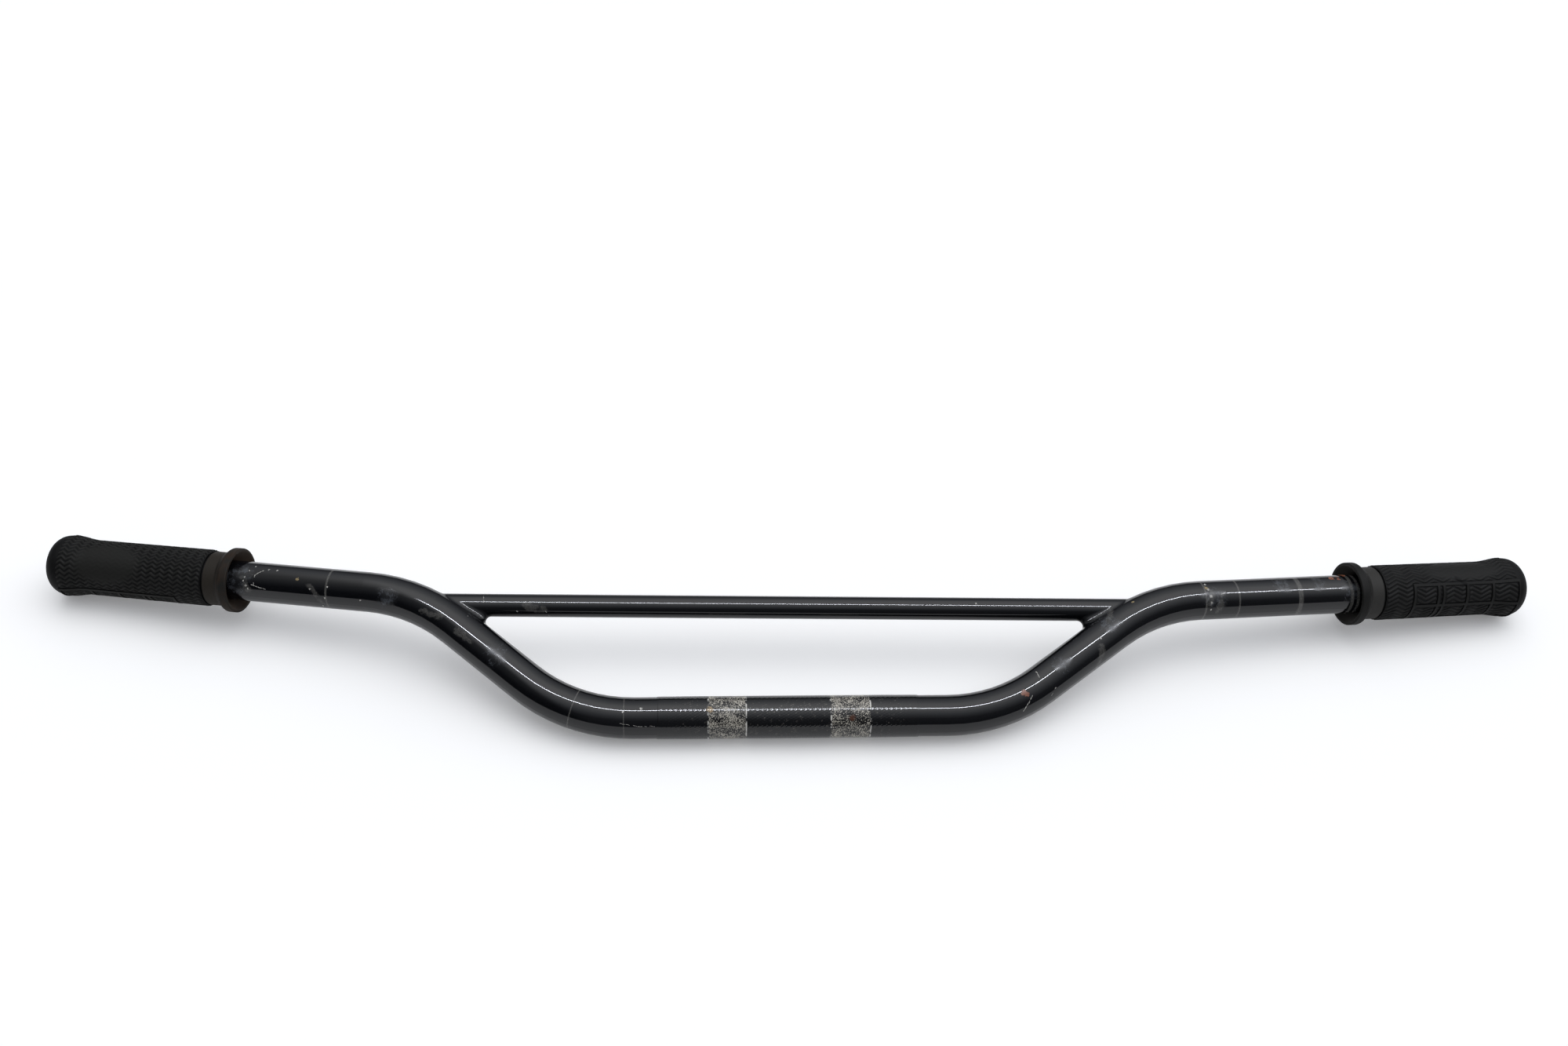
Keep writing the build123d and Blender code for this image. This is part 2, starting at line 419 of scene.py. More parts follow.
SMEARS = (
    ((-301.0, 82.5, 23.6), (-297.1, 77.7, 19.5), 5.0),
    ((-261.4, 73.5, 25.8), (-256.0, 69.0, 19.0), 5.0),
    ((-197.2, 53.4, 26.8), (-186.2, 49.1, 27.0), 4.5),
    ((-178.5, 42.0, 24.4), (-171.0, 36.0, 22.6), 5.0),
    ((-142.0, 58.7, 25.1), (-132.6, 57.2, 23.4), 5.0),
    ((181.5, 51.5, 26.0), (178.8, 44.7, 26.6), 5.0),
    ((172.4, 30.0, 21.5), (171.3, 24.2, 12.2), 6.0),
    ((238.5, 56.4, 26.3), (240.2, 61.5, 30.0), 5.0),
    ((244.0, 55.5, 22.0), (246.5, 62.0, 29.0), 5.0),
)
CHIPS_AND_GLINT = (
    ((-285.7, 85.5, 26.4), 0.9),
    ((-280.9, 84.2, 26.8), 0.9),
    ((-299.7, 80.8, 22.6), 0.8),
    ((-298.3, 78.9, 20.9), 1.0),
    ((-297.1, 77.7, 19.5), 0.8),
    ((-298.9, 82.5, 24.0), 0.7),
    ((-296.7, 85.9, 25.4), 0.7),
    ((-293.8, 88.7, 25.7), 0.7),
    ((-261.4, 72.1, 24.7), 0.8),
    ((-233.0, 64.4, 23.9), 0.9),
    ((-147.2, 57.1, 22.4), 0.9),
    ((-87.7, -3.9, 10.4), 1.0),
    ((-78.2, -2.3, 10.8), 1.3),
    ((-67.1, 1.0, 11.2), 0.9),
    ((106.1, 57.4, 26.7), 0.8),
    # A painted glint, not a chip: a pale spot that stands for a highlight.
    ((172.4, 33.9, 23.9), 1.1),
    ((237.0, 67.3, 30.8), 1.1),
    ((237.9, 63.6, 30.8), 1.3),
    ((239.1, 59.7, 29.2), 1.3),
    ((239.4, 57.0, 26.9), 1.1),
    ((239.3, 55.0, 23.3), 0.9),
    ((-251.5, 71.7, 27.0), 0.8),
    ((-253.1, 68.3, 21.7), 0.9),
    ((-255.1, 68.4, 15.2), 0.8),
)
SCUFFS = (
    ((-299.0, 84.5, 24.6), 9.0),
    ((-305.0, 84.0, 23.5), 9.0),
    ((-303.5, 79.5, 19.0), 8.0),
    ((-218.0, 62.0, 28.0), 9.0),
    ((-156.0, 29.0, 17.0), 9.0),
    ((150.0, 21.0, 17.0), 8.0),
    ((178.0, 43.0, 26.0), 9.0),
    ((241.5, 60.0, 29.0), 10.0),
    ((283.0, 70.7, 27.5), 8.0),
    ((305.2, 73.4, 25.9), 7.0),
    ((326.0, 70.3, 22.5), 9.0),
)
TAN_CHIPS = (
    ((-268.8, 77.7, 27.0), 1.5),
    ((193.7, 55.7, 29.3), 1.4),
    ((237.0, 64.5, 31.0), 1.8),
)
RUST = (
    ((126.4, 4.8, 13.5), 2.6),
    ((128.9, 3.7, 12.8), 2.6),
    ((318.7, 78.6, 24.3), 3.4),
    ((314.5, 77.5, 24.7), 2.4),
    ((322.7, 82.3, 22.3), 3.4),
)
RINGS = (
    ((-252.4, 71.1, 26.3), arm_ways["left"], 1.5),
    ((-113.1, 3.5, 12.6), (-0.94, 0.32, 0.11), 0.9),
    ((-87.3, -2.7, 10.8), (1.0, 0.0, 0.0), 0.6),
    ((236.0, 62.5, 30.8), arm_ways["right"], 1.4),
    ((256.2, 63.5, 29.0), arm_ways["right"], 1.3),
    ((293.4, 68.0, 25.5), arm_ways["right"], 3.6),
    ((324.9, 73.2, 24.1), arm_ways["right"], 2.6),
    ((328.9, 71.2, 22.9), arm_ways["right"], 2.2),
)
tables = (SCRATCHES, SMEARS, CHIPS_AND_GLINT, SCUFFS, TAN_CHIPS, RUST, RINGS)
print("marks on the enamel:", sum(len(marks) for marks in tables))

# %% [markdown]
# The tube is finished in gloss black baked enamel. Enamel is a hard, smooth film: nearly all that
# is seen of it is mirror, with a very dark blue-black underneath, and handling leaves a haze that
# makes the mirror a little rougher. Scratches and chips bare the pale primer, smears and clamp
# rings leave a thin grey film of specks, scuffs dull the gloss, and rust and old dirt come through
# brown and tan. One pale spot in the chip table is a painted glint in the primer's colour.
# Scratches and rust are measured from slightly wobbled places, and smears and scuffs from places
# pushed about by several millimetres, so that none has a drawn outline.

# %% Gloss black enamel
SCRATCH_STRENGTH = 0.9
SCUFF_STRENGTH = 0.3
SMEAR_STRENGTH = 0.75
SMEAR_SPECKS = (0.10, 0.36)
GLOSS_ROUGHNESS = (0.04, 0.10)
MARK_ROUGHNESS = 0.3

enamel = bpy.data.materials.new("gloss_black_enamel")
enamel.use_nodes = True
coat = enamel.node_tree
film = coat.nodes["Principled BSDF"]
place = in_millimetres(coat)
fine = grit(coat, place, 0.45, 0.35, 0.65)
coarse = grit(coat, place, 2.5, 0.38, 0.62)
haze = grit(coat, place, 18.0, 0.40, 0.70)
ragged = wobbled(coat, place, 5.0, 7.0)
shaky = wobbled(coat, place, 3.0, 1.2)

cuts = strongest(coat, [line_mask(coat, shaky, *mark) for mark in SCRATCHES])
chips_and_glint = strongest(coat, [spot_mask(coat, place, *mark) for mark in CHIPS_AND_GLINT])
rings = strongest(coat, [ring_mask(coat, place, *mark) for mark in RINGS])
scuffs = strongest(coat, [spot_mask(coat, ragged, *mark) for mark in SCUFFS])
smears = strongest(coat, [line_mask(coat, ragged, *mark) for mark in SMEARS])
rust = strongest(coat, [spot_mask(coat, shaky, *mark) for mark in RUST])
tan = strongest(coat, [spot_mask(coat, shaky, *mark) for mark in TAN_CHIPS])

cuts = add_node(coat, "ShaderNodeMath", (cuts, SCRATCH_STRENGTH), operation="MULTIPLY")
# The pale primer colour here also paints the glint from the chip table, a painted highlight.
bared_and_glint = frayed(coat, strongest(coat, (cuts, chips_and_glint)), fine)
rusted = frayed(coat, rust, coarse)
patchy = add_node(coat, "ShaderNodeMath", (scuffs, coarse), operation="MULTIPLY")
dulled = frayed(coat, patchy, fine)
dulled = add_node(coat, "ShaderNodeMath", (dulled, SCUFF_STRENGTH), operation="MULTIPLY")
smears = add_node(coat, "ShaderNodeMath", (smears, SMEAR_STRENGTH), operation="MULTIPLY")
specks = add_node(coat, "ShaderNodeMapRange", (fine, 0.0, 1.0, *SMEAR_SPECKS))
smeared = strongest(coat, (smears, rings))
smeared = add_node(coat, "ShaderNodeMath", (smeared, specks), operation="MULTIPLY")

layers = (
    (dulled, "#6A6F76"),
    (smeared, "#8F8D88"),
    (bared_and_glint, "#B4B2AC"),
    (frayed(coat, tan, fine), "#8C7C5A"),
    (rusted, "#7C4A34"),
)
colour = painted(coat, "#090A0D", layers)
gloss = add_node(coat, "ShaderNodeMapRange", (haze, 0.0, 1.0, *GLOSS_ROUGHNESS))
marked = strongest(coat, (bared_and_glint, scuffs, rusted))
rough = add_node(coat, "ShaderNodeMath", (marked, MARK_ROUGHNESS, gloss), operation="MULTIPLY_ADD")
coat.links.new(colour, film.inputs["Base Color"])
coat.links.new(rough.outputs[0], film.inputs["Roughness"])
film.inputs["Specular IOR Level"].default_value = 0.4
print("enamel:", len(coat.nodes), "nodes")

# %% [markdown]
# The clamp zone is knurled: rolled into small diamonds so that the clamps can't slip. Under the
# two clamps the paint has gone from the diamonds and the steel is bruised to a speckled grey, with
# a thin bright line at each clamp's edge. Dirt and paint stay in the grooves, so the shade depends
# on how far a point lies from the tube's axis, and a tan and a brown spot stand where rust has
# started.

# %% Worn rolled knurl
KNURL_RADIUS_MM = 11.31
KNURL_HEIGHT_MM = 0.13
GROOVE_FILL_MM = 0.02
TIP_SHARE = 0.6
CLAMP_BANDS = ((-42.7, -22.5), (22.6, 43.8))
BAND_FADE = 0.6
EDGE_LINE = (0.15, 0.5)
BAND_COVER = (0.36, 0.78)
PATCH_SQUEEZE = (1.0, 2.0, 2.0)
WORN_TIPS = 0.2
TAN_SPOT = ((-41.8, -3.2, 10.8), 2.8)
BROWN_SPOT = ((33.9, -7.7, 8.2), 2.4)
STEEL_ROUGHNESS = (0.07, 0.40)

rolled = bpy.data.materials.new("worn_rolled_knurl")
rolled.use_nodes = True
steel = rolled.node_tree
body = steel.nodes["Principled BSDF"]
place = in_millimetres(steel)
speckle = grit(steel, place, 0.55, 0.36, 0.64)
ragged = wobbled(steel, place, 2.0, 2.0)

bands = []
edges = []
x = add_node(steel, "ShaderNodeSeparateXYZ", (place,)).outputs["X"]
for left_edge, right_edge in CLAMP_BANDS:
    half_width = (right_edge - left_edge) / 2
    off_middle = add_node(
        steel, "ShaderNodeMath", (x, (left_edge + right_edge) / 2), operation="SUBTRACT"
    )
    away = add_node(steel, "ShaderNodeMath", (off_middle,), operation="ABSOLUTE")
    off_edge = add_node(steel, "ShaderNodeMath", (away, half_width), operation="SUBTRACT")
    off_edge = add_node(steel, "ShaderNodeMath", (off_edge,), operation="ABSOLUTE")
    bands.append(fade(steel, away, half_width - BAND_FADE, half_width))
    edges.append(fade(steel, off_edge, *EDGE_LINE))

long_place = add_node(steel, "ShaderNodeVectorMath", (place, PATCH_SQUEEZE), operation="MULTIPLY")
patches = grit(steel, long_place, 7.0, 0.36, 0.64)
cover = add_node(steel, "ShaderNodeMapRange", (patches, 0.0, 1.0, *BAND_COVER))
bruised = add_node(
    steel, "ShaderNodeMath", (strongest(steel, bands), cover), operation="MULTIPLY"
)
bruised = frayed(steel, bruised, speckle)

from_axis = add_node(
    steel, "ShaderNodeVectorMath", (place, (0.0, 1.0, 1.0)), operation="MULTIPLY"
)
from_axis = add_node(steel, "ShaderNodeVectorMath", (from_axis,), operation="LENGTH")
filled_to = KNURL_RADIUS_MM + GROOVE_FILL_MM
tips_from = KNURL_RADIUS_MM + TIP_SHARE * KNURL_HEIGHT_MM
tips = add_node(steel, "ShaderNodeMapRange", (from_axis, filled_to, tips_from))
scattered = add_node(
    steel, "ShaderNodeMath", (tips, grit(steel, place, 2.0, 0.58, 0.72)), operation="MULTIPLY"
)
scattered = add_node(steel, "ShaderNodeMath", (scattered, WORN_TIPS), operation="MULTIPLY")
bare = strongest(steel, (bruised, scattered))
bright = add_node(
    steel,
    "ShaderNodeMath",
    (strongest(steel, edges), grit(steel, place, 3.0, 0.48, 0.60)),
    operation="MULTIPLY",
)
layers = (
    (bare, "#ADA89D"),
    (bright, "#D0CEC8"),
    (frayed(steel, spot_mask(steel, ragged, *TAN_SPOT), speckle), "#96805E"),
    (spot_mask(steel, ragged, *BROWN_SPOT), "#4A2A1A"),
)
colour = painted(steel, "#0B0C0E", layers)
rough = add_node(steel, "ShaderNodeMapRange", (bare, 0.0, 1.0, *STEEL_ROUGHNESS))
steel.links.new(colour, body.inputs["Base Color"])
steel.links.new(rough.outputs[0], body.inputs["Roughness"])
body.inputs["Specular IOR Level"].default_value = 0.4
print("knurl:", len(steel.nodes), "nodes")

# %% [markdown]
# The tread is laid on the body of each grip, so its finish and its shape both need the body's
# outline: a slight taper from the plain band, and then a swell before the closed end. The places
# are measured along the arm from the grip's inner face, in millimetres. The same nodes work in a
# material and in Geometry Nodes, so one function serves both.

# %% Outline of a grip's body
BODY_START = 16.6
NECK_FROM_END = 25.0
CREST_FROM_END = 8.5
BODY_RADIUS = 15.43
NECK_RADIUS = 15.13
SWELL = 1.9


def skin_radius(tree, along, body_start, neck, crest):
    """The radius of a grip's body below its tread."""
    taper = add_node(
        tree, "ShaderNodeMapRange", (along, body_start, neck, BODY_RADIUS, NECK_RADIUS)
    )
    swell = fade(tree, along, neck, crest, before=0.0, after=SWELL)
    return add_node(tree, "ShaderNodeMath", (taper, swell), operation="ADD")


print("body radius:", BODY_RADIUS, "mm, swollen end:", NECK_RADIUS + SWELL, "mm")

# %% [markdown]
# Each grip is moulded charcoal rubber: soft and slightly porous, with a broad dull sheen and no
# mirror image. Real pores are finer than the render can show, so they are drawn at 0.4 mm. The two
# grips have aged differently, so one function makes the finish for a side. It tints the rim of the
# flange and the plain band behind it. It also paints light and shade: the dish of the flange gets a
# lighter colour as painted light, and the grooves of the tread are left near black as painted
# shade.

# %% Moulded rubber
RIM_EDGE = (4.0, 6.5)
FLANGE_EDGE = (7.0, 8.5)
BAND_EDGE = (15.0, 15.6)
DISH_FLOOR_EDGE = (6.2, 7.0)
DISH_WALL_EDGE = (16.4, 17.2)
GROOVE_EDGE = (0.08, 0.36)
PORES_PER_MM = 2.5
PORE_DEPTH = 0.1 * MM
NICK = ((389.1, 78.9, 23.3), (395.0, 75.3, 20.9), 3.2)


def grip_rubber(side, body_hex, dish_light_hex, rim_hex, band_hex):
    """The rubber of one grip, with the colours of its body, its flange and its plain band, painted
    light in its dish and painted shade in its grooves.
    """
    material = bpy.data.materials.new(f"moulded_rubber_{side}")
    material.use_nodes = True
    tree = material.node_tree
    shader = tree.nodes["Principled BSDF"]
    place = in_millimetres(tree)
    face = arms[side].translation / MM
    ahead = add_node(tree, "ShaderNodeVectorMath", (place, face), operation="SUBTRACT")
    along = add_node(
        tree, "ShaderNodeVectorMath", (ahead, arm_ways[side]), operation="DOT_PRODUCT"
    )
    across = add_node(
        tree, "ShaderNodeVectorMath", (ahead, arm_ways[side]), operation="CROSS_PRODUCT"
    )
    from_axis = add_node(tree, "ShaderNodeVectorMath", (across,), operation="LENGTH")

    length = GRIP_LENGTH_MM[side]
    skin = skin_radius(tree, along, BODY_START, length - NECK_FROM_END, length - CREST_FROM_END)
    proud = add_node(tree, "ShaderNodeMath", (from_axis, skin), operation="SUBTRACT")
    # Raised rubber gets the body's colour and low rubber keeps the near-black base: painted shade
    # in the grooves.
    tips = add_node(tree, "ShaderNodeMapRange", (proud, *GROOVE_EDGE))
    tips = strongest(tree, (tips, fade(tree, along, *FLANGE_EDGE)))
    band = add_node(
        tree,
        "ShaderNodeMath",
        (rise(tree, along, *FLANGE_EDGE), fade(tree, along, *BAND_EDGE)),
        operation="MULTIPLY",
    )
    wear = grit(tree, place, 6.0, 0.35, 0.65)
    rim = add_node(
        tree, "ShaderNodeMath", (fade(tree, along, *RIM_EDGE), wear), operation="MULTIPLY"
    )
    # The dish of the flange is lightened here: painted light for the light caught on its inner
    # wall.
    painted_light_dish = add_node(
        tree,
        "ShaderNodeMath",
        (fade(tree, along, *DISH_FLOOR_EDGE), fade(tree, from_axis, *DISH_WALL_EDGE)),
        operation="MULTIPLY",
    )
    layers = [(tips, body_hex), (band, band_hex), (rim, rim_hex), (painted_light_dish, dish_light_hex)]
    if side == "right":
        layers.append((line_mask(tree, place, *NICK), "#030303"))
    # The near-black base is painted shade in the grooves of the tread and on the low rubber beside
    # the ribs.
    colour = painted(tree, "#060606", layers)
    tree.links.new(colour, shader.inputs["Base Color"])

    pores = {"Vector": place, "Scale": PORES_PER_MM, "Detail": 3.0}
    grain = add_node(tree, "ShaderNodeTexNoise", pores)
    bump = {"Height": grain, "Strength": 0.2, "Distance": PORE_DEPTH}
    pits = add_node(tree, "ShaderNodeBump", bump)
    tree.links.new(pits.outputs[0], shader.inputs["Normal"])
    shader.inputs["Roughness"].default_value = 0.62
    shader.inputs["Specular IOR Level"].default_value = 0.12
    return material


# The dish colours are painted light, lighter than each body, for the light caught inside the
# flange's dish.
rubber = {
    "left": grip_rubber(
        "left", body_hex="#1E1E1C", dish_light_hex="#3A2F26", rim_hex="#2B2119", band_hex="#2A2621"
    ),
    "right": grip_rubber(
        "right", body_hex="#1B1B1A", dish_light_hex="#2A2825", rim_hex="#141412", band_hex="#333230"
    ),
}
print("rubber:", [material.name for material in rubber.values()])

# %% [markdown]
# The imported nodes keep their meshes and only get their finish: rubber on each grip, and enamel on
# the tube, the crossbar and its welds.

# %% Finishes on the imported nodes
for name, node in nodes.items():
    finish = rubber[name.removeprefix("grip_")] if name.startswith("grip_") else enamel
    node.data.materials.clear()
    node.data.materials.append(finish)
    print(name, "has", finish.name)

# %% [markdown]
# The knurl and the tread are both patterns on a tube, and Geometry Nodes suits them. Each starts
# as a flat sheet of points, x along the tube and y the turn round it. A height is worked out at
# every point, and then the sheet is rolled up and closed. The sizes are inputs of the tree with
# names, so that a tree is set like a list of dimensions.


# %% Sheets that are rolled round a tube
def start_sheet(name, sizes):
    """A tree with named size inputs and a flat sheet, and its sizes, sheet, along and turn."""
    tree = bpy.data.node_groups.new(name, "GeometryNodeTree")
    tree.interface.new_socket("Geometry", in_out="OUTPUT", socket_type="NodeSocketGeometry")
    for label, value in sizes.items():
        kind = "NodeSocketInt" if isinstance(value, int) else "NodeSocketFloat"
        tree.interface.new_socket(label, in_out="INPUT", socket_type=kind)
    size = add_node(tree, "NodeGroupInput").outputs
    points = (size["Length"], math.tau, size["Points Along"], size["Points Round"])
    sheet = add_node(tree, "GeometryNodeMeshGrid", points)
    position = add_node(tree, "GeometryNodeInputPosition")
    point = add_node(tree, "ShaderNodeSeparateXYZ", (position,)).outputs
    along = add_node(tree, "ShaderNodeMath", (point["X"], size["Middle"]), operation="ADD")
    return tree, size, sheet, along, point["Y"]


def zigzag(tree, value):
    """A wave of straight lines that is 0 at whole numbers and 1 half-way between them."""
    bounce = add_node(tree, "ShaderNodeMath", (value, 0.5), operation="PINGPONG")
    return add_node(tree, "ShaderNodeMath", (bounce, 2.0), operation="MULTIPLY")


def turns(tree, turn, count):
    """The turn round the tube, counted so that a full turn is the given number of repeats."""
    repeats = add_node(tree, "ShaderNodeMath", (turn, count), operation="MULTIPLY")
    return add_node(tree, "ShaderNodeMath", (repeats, math.tau), operation="DIVIDE")


def roll_sheet(tree, sheet, along, turn, radius, material):
    """Rolls the sheet up at its radius, closes it and gives it its material."""
    sine = add_node(tree, "ShaderNodeMath", (turn,), operation="SINE")
    cosine = add_node(tree, "ShaderNodeMath", (turn,), operation="COSINE")
    side = add_node(tree, "ShaderNodeMath", (radius, sine), operation="MULTIPLY")
    up = add_node(tree, "ShaderNodeMath", (radius, cosine), operation="MULTIPLY")
    place = add_node(tree, "ShaderNodeCombineXYZ", (along, side, up))
    steps = (
        ("GeometryNodeSetPosition", {"Position": place}),
        ("GeometryNodeMergeByDistance", {"Distance": 0.0001}),
        ("GeometryNodeSetShadeSmooth", {"Shade Smooth": True}),
        ("GeometryNodeRealizeInstances", {}),
        ("GeometryNodeSetMaterial", {"Material": material}),
    )
    for kind, inputs in steps:
        sheet = add_node(tree, kind, {"Geometry": sheet, **inputs})
    add_node(tree, "NodeGroupOutput", {"Geometry": sheet})


# %% [markdown]
# A tree is run on an empty mesh, its sizes are set by each socket's identifier, and the result is
# turned to a plain mesh that stands in its place. The piece then rides on the root body over the
# node that it dresses.


# %% Finished pieces
def make_piece(name, tree, sizes, stand):
    """Runs a tree with its sizes in millimetres and stands the mesh in place as a piece."""
    host = bpy.data.objects.new(f"{name}_sheet", bpy.data.meshes.new(f"{name}_sheet"))
    bpy.context.scene.collection.objects.link(host)
    modifier = host.modifiers.new("sheet", "NODES")
    modifier.node_group = tree
    for socket in tree.interface.items_tree:
        if socket.in_out == "INPUT":
            modifier[socket.identifier] = sizes[socket.name]
    made = host.evaluated_get(bpy.context.evaluated_depsgraph_get())
    mesh = bpy.data.meshes.new_from_object(made)
    bpy.data.objects.remove(host)
    mesh.name = name
    mesh.transform(stand @ Matrix.Scale(MM, 4))
    piece = bpy.data.objects.new(name, mesh)
    bpy.context.scene.collection.objects.link(piece)
    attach(piece, "root")
    print(name, "triangles:", sum(len(face.vertices) - 2 for face in mesh.polygons))


# %% [markdown]
# A diamond knurl is two sets of grooves that wind round the tube in opposite directions. The
# height at a point is the smaller of its two heights above the nearest groove of each set. With 48
# round the tube, each diamond is about 1.5 mm wide. The clamps have flattened the tips under them,
# and paint fills the grooves towards the ends. The sheet's two ends are tucked under the tube's
# surface.

# %% Diamond knurl
KNURL_LENGTH = 140.0
DIAMONDS_ALONG = 55
DIAMONDS_ROUND = 48.0
FLATTENED = 0.5
PAINTED_HEIGHT = (0.25, 1.0)
PAINT_FROM = 48.0
FLAT_FADE = 1.0
TUCK_LENGTH = 0.6
TUCK_DEPTH = 0.4

knurl_sizes = {
    "Length": KNURL_LENGTH,
    "Middle": 0.0,
    "Points Along": 221,
    "Points Round": 193,
    "Diamonds Round": DIAMONDS_ROUND,
    "Diamond Length": KNURL_LENGTH / DIAMONDS_ALONG,
    "Radius": KNURL_RADIUS_MM,
    "Height": KNURL_HEIGHT_MM,
}
tree, size, sheet, along, turn = start_sheet("diamond_knurl", knurl_sizes)
forward = add_node(tree, "ShaderNodeMath", (along, size["Diamond Length"]), operation="DIVIDE")
round_way = turns(tree, turn, size["Diamonds Round"])
one_way = add_node(tree, "ShaderNodeMath", (forward, round_way), operation="ADD")
other_way = add_node(tree, "ShaderNodeMath", (forward, round_way), operation="SUBTRACT")
diamond = add_node(
    tree, "ShaderNodeMath", (zigzag(tree, one_way), zigzag(tree, other_way)), operation="MINIMUM"
)

clamped = []
for left_edge, right_edge in CLAMP_BANDS:
    half_width = (right_edge - left_edge) / 2
    off_middle = add_node(
        tree, "ShaderNodeMath", (along, (left_edge + right_edge) / 2), operation="SUBTRACT"
    )
    away = add_node(tree, "ShaderNodeMath", (off_middle,), operation="ABSOLUTE")
    clamped.append(fade(tree, away, half_width - FLAT_FADE, half_width + FLAT_FADE))
top = (strongest(tree, clamped), -FLATTENED, 1.0)
top = add_node(tree, "ShaderNodeMath", top, operation="MULTIPLY_ADD")
diamond = add_node(tree, "ShaderNodeMath", (diamond, top), operation="MINIMUM")

end = KNURL_LENGTH / 2
from_middle = add_node(tree, "ShaderNodeMath", (along,), operation="ABSOLUTE")
low, full = PAINTED_HEIGHT
share = fade(tree, from_middle, PAINT_FROM, end, before=full, after=low)
share = add_node(tree, "ShaderNodeMath", (share, diamond), operation="MULTIPLY")
height = add_node(tree, "ShaderNodeMath", (share, size["Height"]), operation="MULTIPLY")
tucked = fade(tree, from_middle, end - TUCK_LENGTH, end, before=0.0, after=-TUCK_DEPTH)
radius = add_node(tree, "ShaderNodeMath", (size["Radius"], height), operation="ADD")
radius = add_node(tree, "ShaderNodeMath", (radius, tucked), operation="ADD")
roll_sheet(tree, sheet, along, turn, radius, rolled)
make_piece("diamond_knurl", tree, knurl_sizes, Matrix())

# %% [markdown]
# The tread is a set of thin ridges that run out along the grip in a zigzag, one above another all
# the way round. The left grip's zigzag is finer than the right one's. A palm has worn a patch of
# each, which is centred at a place along the grip, in millimetres, and at a turn from the top
# towards the front, in radians. All of this goes into one list of sizes for a side.

# %% Sizes of the tread
RIDGES_ROUND = 39.0
RIDGE_HEIGHT = 0.5
CREST_MARGIN = 1.0
TREADS = {
    "left": {
        "Front Way": 1.0,
        "Zigzag Length": 5.4,
        "Zigzag Swing": 0.75,
        "Rib Turn": math.radians(98.0),
        "Worn Place": 74.0,
        "Worn Reach": 24.0,
        "Worn Turn": 0.55,
        "Worn Spread": 0.95,
    },
    "right": {
        "Front Way": -1.0,
        "Zigzag Length": 11.8,
        "Zigzag Swing": 1.15,
        "Rib Turn": math.radians(31.0),
        "Worn Place": 68.0,
        "Worn Reach": 30.0,
        "Worn Turn": -0.1,
        "Worn Spread": 0.62,
    },
}


def tread_sizes(side):
    """The sizes of one grip's tread: its own, and those that follow from the grip's length."""
    length = GRIP_LENGTH_MM[side]
    end = length - CREST_FROM_END - CREST_MARGIN
    return {
        "Length": end - BODY_START,
        "Middle": (BODY_START + end) / 2,
        "Points Along": 181,
        "Points Round": 289,
        "Ridges Round": RIDGES_ROUND,
        "Ridge Height": RIDGE_HEIGHT,
        "Body Start": BODY_START,
        "Body End": end,
        "Neck": length - NECK_FROM_END,
        "Crest": length - CREST_FROM_END,
        **TREADS[side],
    }


print("ridge spacing:", round(math.tau * BODY_RADIUS / RIDGES_ROUND, 2), "mm")

# %% [markdown]
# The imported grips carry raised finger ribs: rings across the fingers, one of them a twin, joined
# by four ribs that run lengthwise. The mould leaves the rubber plain beside each rib, so a mask
# finds the ribs from the same places, and the tread stops there.

# %% Plain rubber beside the finger ribs
RIB_START = 34.5
RIB_PITCH = 16.8
TWIN_RIB_GAP = 3.4
RIB_ROWS = 4
RIB_ROW_TURN = math.radians(46.0)
RIB_SPAN = (RIB_ROWS - 1) * RIB_ROW_TURN
TURN_MARGIN = 0.3
RING_EDGE = (1.1, 1.8)
ROW_EDGE = (0.075, 0.12)
SPAN_EDGE = (RIB_SPAN / 2 + 0.06, RIB_SPAN / 2 + 0.12)
START_EDGE = (RIB_START - 1.5, RIB_START - 0.5)


def near_ribs(tree, size, along, front):
    """1 beside a finger rib and 0 elsewhere."""
    twin = RIB_START + RIB_PITCH
    twins = (twin - TWIN_RIB_GAP / 2, twin + TWIN_RIB_GAP / 2)
    rings = []
    for place in (RIB_START, *twins, twin + RIB_PITCH, twin + 2 * RIB_PITCH):
        off_ring = add_node(tree, "ShaderNodeMath", (along, place), operation="SUBTRACT")
        away = add_node(tree, "ShaderNodeMath", (off_ring,), operation="ABSOLUTE")
        rings.append(fade(tree, away, *RING_EDGE))

    past_first = add_node(tree, "ShaderNodeMath", (front, size["Rib Turn"]), operation="SUBTRACT")
    wrapped = (past_first, math.tau - TURN_MARGIN, -TURN_MARGIN)
    past_first = add_node(tree, "ShaderNodeMath", wrapped, operation="WRAP")
    off_middle = add_node(tree, "ShaderNodeMath", (past_first, RIB_SPAN / 2), operation="SUBTRACT")
    off_middle = add_node(tree, "ShaderNodeMath", (off_middle,), operation="ABSOLUTE")
    within = fade(tree, off_middle, *SPAN_EDGE)
    rows = []
    for row in range(RIB_ROWS):
        off_row = add_node(
            tree, "ShaderNodeMath", (past_first, row * RIB_ROW_TURN), operation="SUBTRACT"
        )
        away = add_node(tree, "ShaderNodeMath", (off_row,), operation="ABSOLUTE")
        rows.append(fade(tree, away, *ROW_EDGE))

    started = rise(tree, along, *START_EDGE)
    across = add_node(
        tree, "ShaderNodeMath", (strongest(tree, rings), within), operation="MULTIPLY"
    )
    lengthwise = add_node(
        tree, "ShaderNodeMath", (strongest(tree, rows), started), operation="MULTIPLY"
    )
    return strongest(tree, (across, lengthwise))


print("ribs span:", round(math.degrees(RIB_SPAN)), "degrees of each grip")

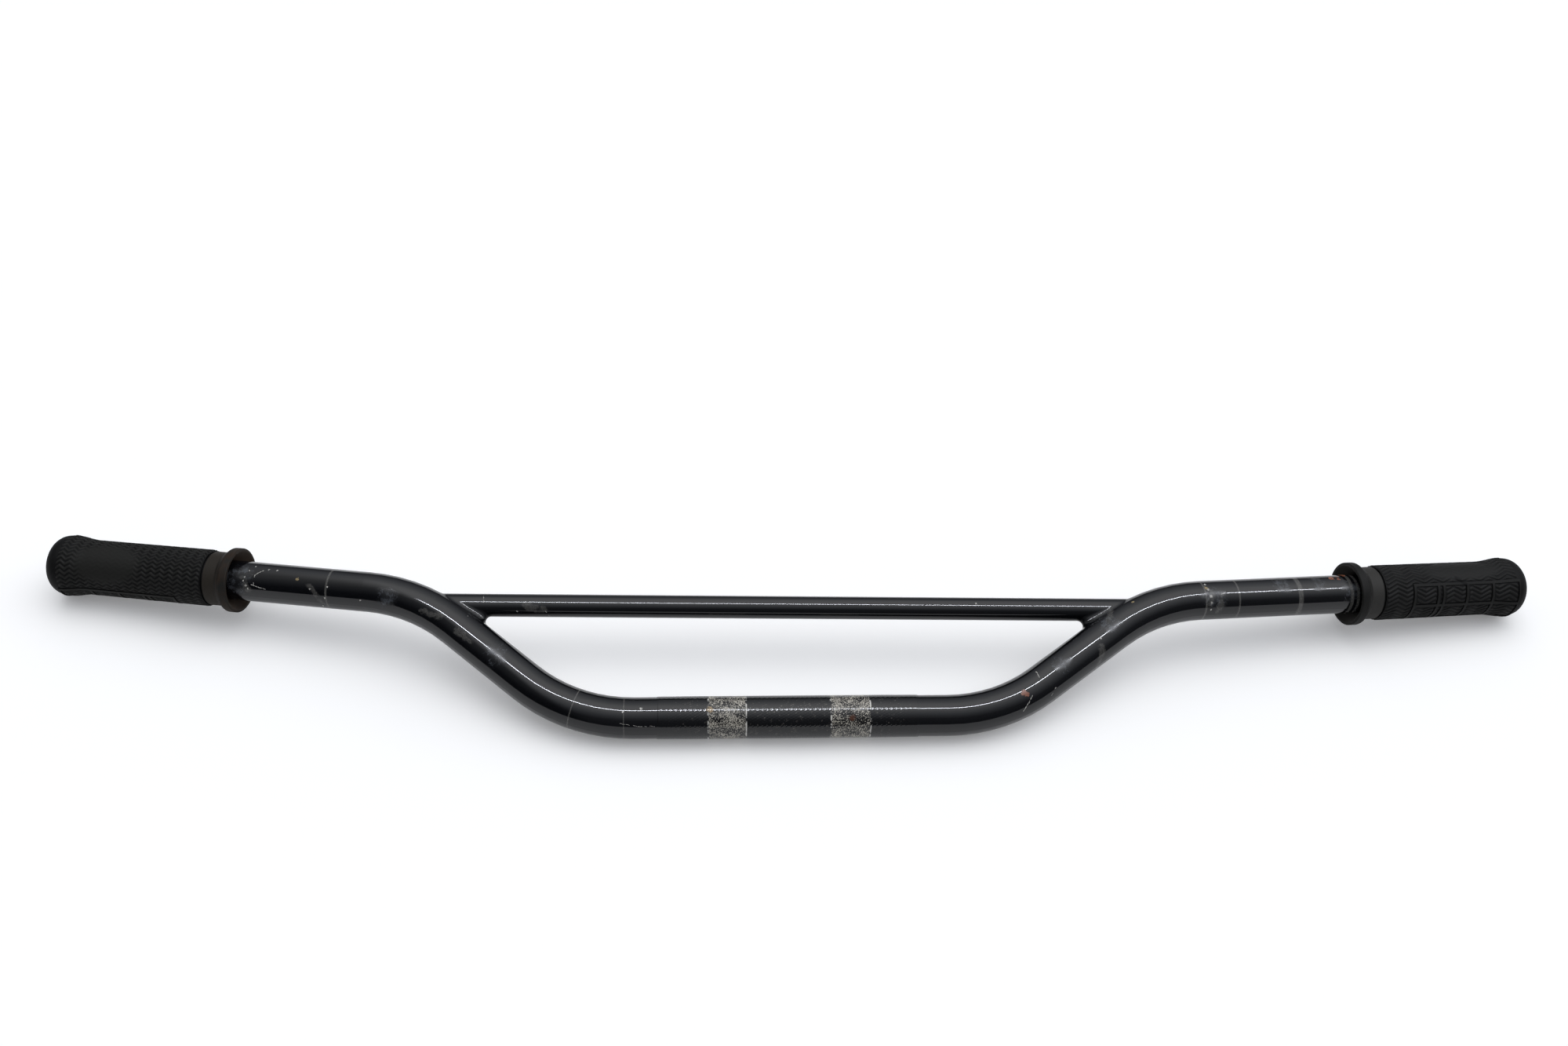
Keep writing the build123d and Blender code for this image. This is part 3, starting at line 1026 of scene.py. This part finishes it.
# %% [markdown]
# The height of the tread is a smooth ridge that swings from side to side as it runs out. In the
# palm's patch the ridges sink and the grooves between them close up with packed rubber. The sheet
# follows the grip's own outline, and its two ends are sunk into the body.

# %% Zigzag tread
RIDGE_FLANK = (0.25, 0.85)
PATCH_EDGE = (0.6, 1.05)
WORN_SHARE = 0.88
PACKED_SHARE = 0.75
END_RUN = 0.8
END_SINK = 0.6


def tread_tree(side, sizes):
    """The tree that makes one grip's tread."""
    tree, size, sheet, along, turn = start_sheet(f"zigzag_tread_{side}", sizes)
    wave = add_node(tree, "ShaderNodeMath", (along, size["Zigzag Length"]), operation="DIVIDE")
    rows = turns(tree, turn, size["Ridges Round"])
    swung = (zigzag(tree, wave), size["Zigzag Swing"], rows)
    swung = add_node(tree, "ShaderNodeMath", swung, operation="MULTIPLY_ADD")
    ridge = rise(tree, zigzag(tree, swung), *RIDGE_FLANK)

    front = add_node(tree, "ShaderNodeMath", (turn, size["Front Way"]), operation="MULTIPLY")
    off_patch = []
    for place, middle, reach in (
        (along, size["Worn Place"], size["Worn Reach"]),
        (front, size["Worn Turn"], size["Worn Spread"]),
    ):
        away = add_node(tree, "ShaderNodeMath", (place, middle), operation="SUBTRACT")
        off_patch.append(add_node(tree, "ShaderNodeMath", (away, reach), operation="DIVIDE"))
    off_patch = add_node(tree, "ShaderNodeCombineXYZ", off_patch)
    patch = add_node(tree, "ShaderNodeVectorMath", (off_patch,), operation="LENGTH")
    worn = fade(tree, patch, *PATCH_EDGE, before=WORN_SHARE)
    kept = add_node(tree, "ShaderNodeMath", (1.0, worn), operation="SUBTRACT")
    packed = add_node(tree, "ShaderNodeMath", (worn, PACKED_SHARE), operation="MULTIPLY")
    height = add_node(tree, "ShaderNodeMath", (ridge, kept, packed), operation="MULTIPLY_ADD")
    height = add_node(
        tree, "ShaderNodeMath", (height, size["Ridge Height"]), operation="MULTIPLY"
    )
    beside = near_ribs(tree, size, along, front)
    clear = add_node(tree, "ShaderNodeMath", (1.0, beside), operation="SUBTRACT")
    height = add_node(tree, "ShaderNodeMath", (height, clear), operation="MULTIPLY")

    inner = add_node(tree, "ShaderNodeMath", (size["Body Start"], END_RUN), operation="ADD")
    outer = add_node(tree, "ShaderNodeMath", (size["Body End"], END_RUN), operation="SUBTRACT")
    ends = (
        rise(tree, along, size["Body Start"], inner),
        fade(tree, along, outer, size["Body End"]),
    )
    full = add_node(tree, "ShaderNodeMath", ends, operation="MULTIPLY")
    sunk = add_node(tree, "ShaderNodeMath", (full, END_SINK, -END_SINK), operation="MULTIPLY_ADD")
    skin = skin_radius(tree, along, size["Body Start"], size["Neck"], size["Crest"])
    radius = add_node(tree, "ShaderNodeMath", (skin, height), operation="ADD")
    radius = add_node(tree, "ShaderNodeMath", (radius, sunk), operation="ADD")
    roll_sheet(tree, sheet, along, turn, radius, rubber[side])
    return tree


for side in ("left", "right"):
    sizes = tread_sizes(side)
    make_piece(f"tread_{side}", tread_tree(side, sizes), sizes, arms[side])
